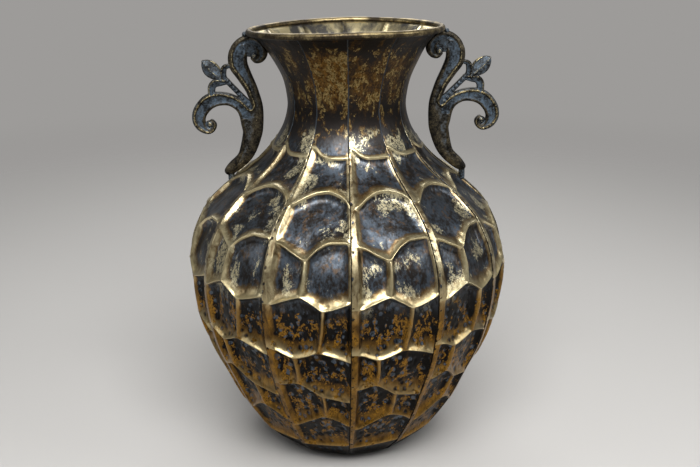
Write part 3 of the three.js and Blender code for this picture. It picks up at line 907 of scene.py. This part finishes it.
def handle_arrays(place):
    gx, gz = np.meshgrid(*(np.arange(low, high, GRID_MM) for low, high in GRID_SPAN), indexing="ij")
    edge = placed_relief(gx.ravel(), gz.ravel(), place)[0]
    kept = (edge < 0.45 * GRID_MM).reshape(gx.shape)
    cells = kept[:-1, :-1] & kept[1:, :-1] & kept[1:, 1:] & kept[:-1, 1:]
    index = np.arange(gx.size).reshape(gx.shape)
    quads = np.stack([index[:-1, :-1], index[1:, :-1], index[1:, 1:], index[:-1, 1:]], axis=-1)[cells]
    used, quads = np.unique(quads, return_inverse=True)
    quads = quads.reshape(-1, 4)
    x, z = gx.ravel()[used], gz.ravel()[used]
    sides = np.concatenate([quads[:, [k, (k + 1) % 4]] for k in range(4)])
    found = {tuple(pair) for pair in sides.tolist()}
    border = [(a, b) for a, b in found if (b, a) not in found]
    on_border = np.unique(np.array(border))
    x[on_border], z[on_border] = snapped(x[on_border], z[on_border], place)
    _, half, rubbed, wash = placed_relief(x, z, place)
    count = len(x)
    faces = [tuple(q) for q in quads.tolist()]
    faces += [tuple(v + count for v in q[::-1]) for q in quads.tolist()]
    faces += [(b, a, a + count, b + count) for a, b in border]
    # Border points stand on the side walls, which the material paints darker as shade
    side = np.zeros(count)
    side[on_border] = 1
    points = np.vstack([np.stack([x, -half, z], axis=-1), np.stack([x, half, z], axis=-1)])
    return points, faces, {"rubbed": np.tile(rubbed, 2), "wash": np.tile(wash, 2), "side": np.tile(side, 2)}


handles = []
for side, sign in (("right", 1), ("left", -1)):
    points, faces, values = handle_arrays(PLACES[side])
    piece = mesh_object("cast_handle_" + side, points * (sign, sign, 1), faces, values)
    handles.append(hand_over(piece, "handle_" + side))
    print(piece.name, len(points), "points")

# %% [markdown]
# The small parts: the rod ring that stiffens the mouth, the disc that closes the foot, the pins that carry
# the handles' feet and the brazed joints under the ring. All of them could be turned shapes, and the disc
# and pins are. The rod was bent and rubbed by hand, so its thickness wanders a little, and the braze ran
# out into a soft lump that lies against the rod.

# %% Ring, disc and pins
# How much of the blue wash stays on the pins and the brazed joints
WASHED = 0.9


def lathe_piece(name, profile, steps, wobble=0.0, centre=0.0):
    """A closed turned solid from its outline, listed from the axis at the bottom to the axis at the top."""
    angles = turn_steps(steps)
    points = []
    for radius, height in profile[1:-1]:
        uneven = 1 + wobble * np.sin(3 * angles + height) + wobble * 0.6 * np.sin(7 * angles - 2 * height)
        points.append(turned(radius * uneven, np.full(steps, float(height)), angles))
    points = np.concatenate(points + [[(0, 0, profile[0][1]), (0, 0, profile[-1][1])]])
    points[:, 0] += centre
    values = {"wash": np.full(len(points), WASHED)}
    return mesh_object(name, points, turned_faces(len(profile) - 2, steps), values)


def ring_piece():
    around = turn_steps(360)
    about = -turn_steps(20)
    u, v = np.meshgrid(around, about, indexing="ij")
    uneven = -0.06 + 0.05 * np.sin(9 * u + 1) + 0.04 * np.sin(23 * u + 2 * v) + 0.03 * np.sin(41 * u - v)
    rod = ROD_RADIUS + uneven
    points = turned(RING_RADIUS + rod * np.cos(v), RING_HEIGHT + rod * np.sin(v), u)
    faces = grid_faces(len(around), len(about), closed=True)
    # Brass share, highest on top of the rod and lowest underneath: partly wear from hands, partly painted
    # highlight and shade
    rubbed = {"rubbed": 0.62 + 0.38 * np.sin(v).ravel()}
    return mesh_object("rolled_rim_ring", bent(points.reshape(-1, 3)), faces, rubbed)


DISC = [(0, 0.6), (54, 0.6), (58, 0), (69.5, 0), (71.4, 0.5), (72, 1.3), (71.5, 2.1), (70.3, 2.5), (40, 2.5),
        (0, 2.5)]
PIN_AWAY = 130.5
PIN_FOOT = [(0, 307.4), (3.4, 307.4), (3.6, 308), (3.6, 314)]
ring = ring_piece()
disc = lathe_piece("foot_disc", DISC, 144)
small = [(ring, "rim_ring", "rod"), (disc, "base_disc", "base_plate")]
for side, sign, top in (("right", 1, 321.5), ("left", -1, 319.0)):
    profile = PIN_FOOT + [(3.5, top - 3.2), (3.6, top - 1), (2.9, top - 0.2), (0, top)]
    pin = lathe_piece("foot_pin_" + side, profile, 24, 0.02, PIN_AWAY * sign)
    small.append((pin, "foot_pin_" + side, "pin"))
print("small parts:", [node for piece, node, slot in small])

# %% [markdown]
# Each handle's top is brazed to the ring. A plain ball would look stuck on, so the lump is flattened,
# uneven, sunk into the corner between the two, and pushed out of the rod wherever it would cut into it.

# %% Brazed joints
BRAZE_RADII = (3.4, 6.4, 3.2)
BRAZE_PLACES = {"right": (108.4, 472.2), "left": (110.4, 468.8)}


def braze_piece(side, sign):
    """An uneven lump of filler, pressed flat where the rod lies on it."""
    around = turn_steps(32)
    lat, lon = np.meshgrid(np.linspace(math.pi, 0, 20)[1:-1], around, indexing="ij")
    uneven = 0.93 + 0.05 * np.sin(5 * lon + 3 * lat) + 0.02 * np.sin(9 * lon - 7 * lat)
    away, height = BRAZE_PLACES[side]
    unit = np.stack([np.sin(lat) * np.cos(lon), np.sin(lat) * np.sin(lon), np.cos(lat)], axis=-1)
    unit = np.vstack([(unit * uneven[..., None]).reshape(-1, 3), [(0, 0, -0.93), (0, 0, 0.93)]])
    points = unit * BRAZE_RADII + (away, 0, height)
    ring_x, ring_z = ring_centre(sign)
    radius = np.hypot(points[:, 0], points[:, 1])
    dr = radius - ring_x
    dz = points[:, 2] - ring_z
    reach = np.maximum(np.hypot(dr, dz), 0.01)
    push = np.maximum((ROD_RADIUS + 0.05) / reach, 1)
    points[:, :2] *= ((ring_x + dr * push) / radius)[:, None]
    points[:, 2] = ring_z + dz * push
    values = {"wash": np.full(len(points), WASHED)}
    return mesh_object("rim_brazing_" + side, points * (sign, sign, 1), turned_faces(*lat.shape), values)


for side, sign in (("right", 1), ("left", -1)):
    small.append((braze_piece(side, sign), "rim_braze_" + side, "braze"))
for piece, node, slot in small:
    hand_over(piece, node)
print("with the brazed joints:", len(small))

# %% [markdown]
# Materials. One function turns written sRGB colours to linear ones, and one adds a node with its settings
# and links and gives back one of its outputs. Every pattern is scaled from a real size in millimetres.

# %% Helpers for materials
def linear(colour):
    """An sRGB hex colour as linear red, green, blue and alpha."""
    parts = [int(colour[k:k + 2], 16) / 255 for k in (1, 3, 5)]
    return tuple(p / 12.92 if p <= 0.04045 else ((p + 0.055) / 1.055)**2.4 for p in parts) + (1.0,)


# For each kind of step: the node, its settings, the inputs that its values go to, and its output
RANGE = ("Value", "From Min", "From Max", "To Min", "To Max")
KINDS = {
    "number": ("Attribute", {}, (), "Fac"),
    "place": ("TexCoord", {}, (), "Object"),
    "vector": ("VectorMath", {}, (0, 1, 2), 0),
    "noise": ("TexNoise", {}, ("Vector", "Scale", "Detail", "Roughness", "Distortion"), "Fac"),
    "cells": ("TexVoronoi", {}, ("Vector", "Scale"), "Distance"),
    "line": ("MapRange", {}, RANGE, 0),
    "ease": ("MapRange", {"interpolation_type": "SMOOTHSTEP"}, RANGE, 0),
    "between": ("Mix", {}, (0, 2, 3), 0),
    "blend": ("Mix", {"data_type": "RGBA"}, (0, 6, 7), 2),
    "bump": ("Bump", {}, ("Height", "Strength", "Distance", "Normal"), 0),
    "surface": ("BsdfPrincipled", {}, ("Base Color", "Metallic", "Roughness", "Normal", "Coat Weight",
                                       "Coat Roughness", "Coat Normal"), 0),
}
# A weighted step gives the first value times the second, plus the third
for kind, operation in (("times", "MULTIPLY"), ("plus", "ADD"), ("minus", "SUBTRACT"), ("larger", "MAXIMUM"),
                        ("weighted", "MULTIPLY_ADD")):
    KINDS[kind] = ("Math", {"operation": operation}, (0, 1, 2), 0)


def add_node(tree, kind, *values, out=None, **settings):
    """Adds a node with its settings and links, and gives back one of its outputs."""
    node_type, usual_settings, inputs, usual_out = KINDS.get(kind, (kind, {}, (0, 1, 2), 0))
    node = tree.nodes.new("ShaderNode" + node_type)
    for name, value in {**usual_settings, **settings}.items():
        setattr(node, name, value)
    for name, value in zip(inputs, values):
        if isinstance(value, bpy.types.NodeSocket):
            tree.links.new(value, node.inputs[name])
        else:
            node.inputs[name].default_value = linear(value) if isinstance(value, str) else value
    return node.outputs[usual_out if out is None else out] if node.outputs else None


def per_mm(size):
    """Noise scale for features of a size in millimetres."""
    return 1 / (size * MM)


def with_nodes(block):
    """A material or world with an empty node tree, and the function that adds nodes to it."""
    block.use_nodes = True
    block.node_tree.nodes.clear()
    return block, functools.partial(add_node, block.node_tree)


print("linear mid grey:", linear("#808080")[0])

# %% [markdown]
# The sheet is mild steel, brass plated, then blackened in a bath of liver of sulphur and rubbed back by
# hand. It could be one noise between two metals, but three things happened to it at three sizes: the
# cloth's long strokes, the bath's clouds and the flaking of the plate. So each has its own pattern. The
# height on the vase and the gore's number move them, because the gores were dipped and rubbed one by one.

# %% Patterns on the pressed sheet
sheet, add = with_nodes(bpy.data.materials.new("brass_plated_steel_rubbed_back_painted_light"))
wear = {}
for key in WEAR + ("inside",):
    wear[key] = add("number", attribute_name=key)
place = add("place")
height = add("SeparateXYZ", place, out="Z")
place = add("vector", place, wear["gore"], operation="ADD")
streak = add("vector", place, (1, 1, 0.5), operation="MULTIPLY")
# Size in millimetres, detail, roughness and warp of each pattern
CLOUDS = {"broad": (34, 2, 0.5, 0), "cloud": (16, 5, 0.62, 0.3), "blotch": (8, 5, 0.62, 0.5),
          "speck": (2.6, 4, 0.7, 0), "grain": (1.1, 3, 0.75, 0)}
cloud = {}
for key, (size, detail, rough, warp) in CLOUDS.items():
    cloud[key] = add("noise", streak, per_mm(size), detail, rough, warp)
# Flakes of plating have straight broken sides, so they are cells with shaken borders
scraped = add("vector", place, (1, 1, 0.8), operation="MULTIPLY")
shaken = add("noise", scraped, per_mm(3), 3.0, out="Color")
shaken = add("vector", shaken, (3 * MM, 3 * MM, 3 * MM), scraped, operation="MULTIPLY_ADD")
flake = add("cells", shaken, per_mm(1.9), out="Color")
flake = add("SeparateColor", flake, out="Red")
chip = add("noise", scraped, per_mm(1.8), 3.0, 0.7)
hole = add("cells", shaken, per_mm(5), out="Distance")
low = add("ease", height, 0.235, 0.2)
neck = add("ease", height, 0.352, 0.37)
print("patterns:", list(cloud))

# %% [markdown]
# Where the black stayed. It starts from the numbers that the relief gave each point. The clouds push its
# border about, hammer marks keep more of it and crests keep none. On the shoulder the border is soft, from
# a dry cloth.

# %% Black, brown and flakes
stay = wear["patina"]
PUSHES = ((cloud["cloud"], 1.4), (cloud["speck"], 0.9), (cloud["grain"], 0.5), (cloud["broad"], 0.6),
          (wear["crest"], -1.0))
for pattern, weight in PUSHES:
    stay = add("weighted", pattern, weight, stay)
kept = add("line", low, 0.0, 1.0, 0.62, 0.2)
stay = add("weighted", wear["patina"], kept, stay)
marked = add("times", wear["dimple"], low)
stay = add("weighted", marked, 0.9, stay)
black = add("ease", stay, 2.2, 2.65)
brown = add("ease", stay, 1.7, 2.3)
# A wiped neck shows a brown gold wherever the bath was thin
wiped = add("weighted", cloud["cloud"], 1.6, wear["bare"])
wiped = add("weighted", chip, 0.8, wiped)
wiped = add("ease", wiped, 1.4, 2.1)
wiped = add("times", wiped, neck)
# Flakes: the share of bare plating, moved by a cloud, against each flake's own number
shown = add("line", cloud["blotch"], 0.4, 0.64, -0.9, 0.85)
shown = add("weighted", neck, -0.25, shown)
shown = add("plus", shown, wear["bare"])
shown = add("minus", shown, flake)
shown = add("ease", shown, 0.0, 0.1)
solid = add("ease", hole, 0.2, 0.32)
shown = add("times", shown, solid)
wanted = add("line", wear["bare"], 0.02, 0.12)
shown = add("times", shown, wanted)
# Pale flecks on the shoulder, in clusters
cluster = add("weighted", cloud["cloud"], 0.7, cloud["broad"])
cluster = add("ease", cluster, 0.8, 1.0, -0.35, 0.17)
fleck = cluster
for pattern in (cloud["speck"], cloud["grain"]):
    fleck = add("plus", pattern, fleck)
fleck = add("ease", fleck, 1.04, 1.26, 0.0, 0.9)
shoulder = add("ease", height, 0.38, 0.364)
shoulder = add("minus", shoulder, low, use_clamp=True)
fleck = add("times", fleck, shoulder)
# The joint line between two gores is black and ragged
seam = add("weighted", cloud["speck"], 2.2, wear["edge"])
seam = add("ease", seam, 2.0, 1.25)
outside = add("minus", 1.0, wear["inside"])
seam = add("times", seam, outside)
print("nodes so far:", len(sheet.node_tree.nodes))

# %% [markdown]
# Colours. Low on the body the plate is an orange gold and the black is brown, and every colour there is also
# darker, partly its own tone and partly painted shade. On the shoulder the plate is pale and a blue-grey film
# lies over the black, like the bloom on a plum; low down that blue-grey shows only on hammer marks, as a
# painted glint.
# The eye gets warm mirror-like lines around dark, cloudy hollows, and a cooler vase above than below.

# %% Colours of the pressed sheet
# Low on the body each colour is darker: partly the plate's own tone, partly painted shade
dull = add("blend", low, "#6b5430", "#46300f")
bright = add("blend", low, "#cfc198", "#936c2a")
polish = add("line", cloud["blotch"], 0.35, 0.65)
polish = add("weighted", wear["crest"], 0.4, polish, use_clamp=True)
plate = add("blend", polish, dull, bright)
# Paler plating on the crests, from polish, and on the ramps over them, partly polish and partly a painted
# highlight
pale = add("line", low, 0.0, 1.0, 0.9, 0.15)
pale = add("times", wear["crest"], pale)
pale = add("weighted", wear["ramp"], 0.6, pale, use_clamp=True)
plate = add("blend", pale, plate, "#cbbc90")
tarnish = add("line", cloud["speck"], 0.38, 0.62)
tan = add("blend", low, "#7a5826", "#5e441b")
tarnish = add("blend", tarnish, "#2c1d0c", tan)
half_brown = add("times", brown, 0.8)
colour = add("blend", half_brown, plate, tarnish)
soot = add("blend", low, "#231d18", "#0e0b08")
# The low film colour shows only in the painted glint on hammer marks
film = add("blend", low, "#454e58", "#596572")
bloom_and_glint = add("weighted", cloud["speck"], 0.8, cloud["cloud"])
bloom_and_glint = add("ease", bloom_and_glint, 0.76, 1.04)
# Painted glint: blue-grey on some hammer marks, added to the film on the shoulder and the only blue-grey low
# down
glint = add("ease", wear["dimple"], 0.2, 0.7)
lit = add("ease", cloud["blotch"], 0.42, 0.58)
glint = add("times", glint, lit)
bloom_and_glint = add("weighted", glint, 0.5, bloom_and_glint, use_clamp=True)
bloom_and_glint = add("between", low, bloom_and_glint, glint)
bloom_and_glint = add("between", neck, bloom_and_glint, 0.06)
soot = add("blend", bloom_and_glint, soot, film)
rust = add("ease", cloud["blotch"], 0.52, 0.66, 0.0, 0.6)
soot = add("blend", rust, soot, tarnish)
colour = add("blend", black, colour, soot)
colour = add("blend", wiped, colour, tarnish)
leaf = add("line", chip, 0.36, 0.62)
gilt = add("blend", neck, "#9c7022", "#a08a58")
leaf = add("blend", leaf, "#423015", gilt)
colour = add("blend", shown, colour, leaf)
colour = add("blend", fleck, colour, "#d6cba4")
# The inside was blackened but not rubbed, apart from the flare, where a hand goes in
deep = add("ease", height, 0.45, 0.4)
within = add("line", cloud["cloud"], 0.42, 0.6)
within = add("blend", within, "#e4d4a6", "#6a6762")
within = add("blend", deep, within, "#1c1813")
colour = add("blend", wear["inside"], colour, within)
joint = add("blend", neck, "#0d0b0a", "#4a525a")
colour = add("blend", seam, colour, joint)
print("nodes with the colours:", len(sheet.node_tree.nodes))

# %% [markdown]
# The shader. The whole sheet is metal under a clear lacquer, which was sprayed from above: thick on the
# shoulder, thin low down and on the neck. It lies level over the fine grain, so it is smoother than the
# plate.

# %% Shader of the pressed sheet
rough = add("weighted", cloud["blotch"], 0.5, black)
rough = add("line", rough, 0.0, 1.5, 0.29, 0.5)
rough = add("weighted", seam, 0.4, rough)
wave = add("bump", cloud["cloud"], 0.4, 1.4 * MM)
wave = add("bump", cloud["blotch"], 0.35, 0.7 * MM, wave)
fine = add("between", low, 0.12, 0.4)
skin_bump = add("bump", cloud["speck"], fine, 0.3 * MM, wave)
top = add("line", height, 0.18, 0.26, 0.08, 0.6)
bare_neck = add("line", height, 0.385, 0.36, 0.15)
lacquer = add("times", top, bare_neck)
shader = add("surface", colour, 0.95, rough, skin_bump, lacquer, 0.28, wave)
add("OutputMaterial", shader)
for piece in gores:
    piece.data.materials.append(sheet)
print(sheet.name, len(sheet.node_tree.nodes), "nodes")

# %% [markdown]
# The handles are cast in a zinc alloy, plated like the sheet, blackened, and given a chalky blue-grey wash
# that stayed in the channels. The cloth took the black off the ridges, where specks of brass show over a
# dark brown rim. The casting skin is sandy, which is why even the channels look slightly grained.

# %% Material of the castings
casting, add = with_nodes(bpy.data.materials.new("plated_zinc_casting_blue_wash"))
rubbed = add("number", attribute_name="rubbed")
washed = add("number", attribute_name="wash")
side_face = add("number", attribute_name="side")
place = add("place")
blotch = add("noise", place, per_mm(7), 4.0, 0.6)
speck = add("noise", place, per_mm(2.2), 3.0, 0.7)
grain = add("noise", place, per_mm(0.9), 3.0, 0.7)
bare = rubbed
for pattern, weight in ((speck, 2.2), (grain, 1.6), (blotch, 1.0)):
    bare = add("weighted", pattern, weight, bare)
bare = add("ease", bare, 3.05, 3.6)
film = washed
for pattern, weight in ((blotch, 2.0), (speck, 1.6), (side_face, -0.5)):
    film = add("weighted", pattern, weight, film)
film = add("ease", film, 2.2, 3.15)
skin_colour = add("weighted", blotch, 1.2, speck)
skin_colour = add("line", skin_colour, 0.95, 1.4)
skin_colour = add("blend", skin_colour, "#1b1a18", "#5e5543")
mottle = add("weighted", speck, 1.0, grain)
mottle = add("line", mottle, 0.7, 1.25)
chalk = add("blend", mottle, "#232a30", "#4e6071")
skin_colour = add("blend", film, skin_colour, chalk)
brass = add("blend", grain, "#8a7140", "#dccfa0")
# Painted shade: the side walls of the casting are made near black
painted_edge_shade = add("times", side_face, 0.7)
skin_colour = add("blend", painted_edge_shade, skin_colour, "#15130f")
colour = add("blend", bare, skin_colour, brass)
metal = add("between", film, 0.85, 0.35)
metal = add("larger", metal, bare)
rough = add("line", bare, 0.0, 1.0, 0.5, 0.3)
bump = add("bump", grain, 0.3, 0.3 * MM)
bump = add("bump", blotch, 0.25, 0.8 * MM, bump)
shader = add("surface", colour, metal, rough, bump)
add("OutputMaterial", shader)
for piece in handles + [entry[0] for entry in small if entry[2] in ("pin", "braze")]:
    piece.data.materials.append(casting)
print(casting.name, len(casting.node_tree.nodes), "nodes")

# %% [markdown]
# The ring is a steel rod, plated and blackened with the sheet. Hands touch it most, so its top is speckled
# with bare brass and its underside is still black, which also paints a highlight on top and shade underneath.
# The foot disc
# never saw the cloth: it is plain blackened steel.

# %% Materials of the rod and the disc
rod, add = with_nodes(bpy.data.materials.new("brass_plated_rod_rubbed_painted_light"))
rubbed = add("number", attribute_name="rubbed")
place = add("place")
blotch = add("noise", place, per_mm(18), 5.0, 0.6)
grain = add("noise", place, per_mm(2), 3.0, 0.6)
# The rod's top comes out lighter and its underside darker: partly wear, partly painted highlight and shade
bare = rubbed
for pattern, weight in ((blotch, 2.6), (grain, 0.9)):
    bare = add("weighted", pattern, weight, bare)
bare = add("ease", bare, 2.15, 3.05)
dark = add("blend", grain, "#1f1b16", "#4d4334")
brass = add("blend", blotch, "#6e5c3c", "#b8a77c")
colour = add("blend", bare, dark, brass)
rough = add("line", bare, 0.0, 1.0, 0.45, 0.34)
bump = add("bump", grain, 0.2, 0.3 * MM)
shader = add("surface", colour, 0.95, rough, bump)
add("OutputMaterial", shader)
ring.data.materials.append(rod)

plate_steel, add = with_nodes(bpy.data.materials.new("blackened_steel_plate"))
place = add("place")
blotch = add("noise", place, per_mm(12), 5.0, 0.6)
colour = add("blend", blotch, "#1f1a16", "#5a4b38")
bump = add("bump", blotch, 0.3, 0.4 * MM)
shader = add("surface", colour, 0.8, 0.5, bump)
add("OutputMaterial", shader)
disc.data.materials.append(plate_steel)
print("materials:", [m.name for m in bpy.data.materials])

# %% [markdown]
# The floor could run up into a backdrop, but then its edges would show from the sides. So it is one flat
# disc that fades with distance into the world, which the camera sees as an even pale grey. Metal shows what
# stands around it, so the world also gives every side of the vase a dim, even reflection.

# %% Floor and world
FLOOR_RADIUS = 8.0


def floor_disc():
    points = [(FLOOR_RADIUS * math.cos(a), FLOOR_RADIUS * math.sin(a), 0) for a in turn_steps(96)]
    mesh = bpy.data.meshes.new("floor")
    mesh.from_pydata(points, [], [tuple(range(len(points)))])
    return new_object("floor", mesh)


floor = floor_disc()
floor_paint, add = with_nodes(bpy.data.materials.new("pale_matt_floor"))
matt = add("surface", "#bfbdba", 0.0, 0.8)
clear = add("BsdfTransparent")
place = add("place")
far = add("vector", place, out="Value", operation="LENGTH")
far = add("ease", far, 0.5, 2.4)
add("OutputMaterial", add("MixShader", far, matt, clear))
floor.data.materials.append(floor_paint)

world, add = with_nodes(bpy.data.worlds.new("studio"))
seen = add("LightPath", out="Is Camera Ray")
dim = add("Background", "#ffffff", 0.18)
pale = add("Background", "#9d9b99", 1.0)
add("OutputWorld", add("MixShader", seen, dim, pale))
bpy.context.scene.world = world
print("floor radius %.1f m" % FLOOR_RADIUS)

# %% [markdown]
# The light is a wide softbox high in front, as in a photo studio. Its reflection is what draws the crests
# and the ramps. Three weaker ones keep the sides and the back from going black.

# %% Lights
AIM = (0, 0, 0.25)
# Place, size and power of each softbox
SOFTBOXES = {
    "front_softbox": ((0.05, -0.93, 1.42), (1.15, 0.75), 31),
    "left_softbox": ((-1.35, -0.5, 1.05), (0.6, 0.7), 2.5),
    "right_softbox": ((1.35, -0.5, 1.05), (0.6, 0.7), 6),
    "back_softbox": ((0, 1.5, 1.5), (1.4, 0.8), 14),
}
for name, (spot, size, watts) in SOFTBOXES.items():
    data = bpy.data.lights.new(name, "AREA")
    data.shape = "RECTANGLE"
    data.size, data.size_y = size
    data.energy = watts
    light = new_object(name, data)
    light.location = spot
    light.rotation_euler = (Vector(AIM) - Vector(spot)).to_track_quat("-Z", "Y").to_euler()
bpy.context.scene.view_settings.view_transform = "Standard"
print("softboxes:", list(SOFTBOXES))
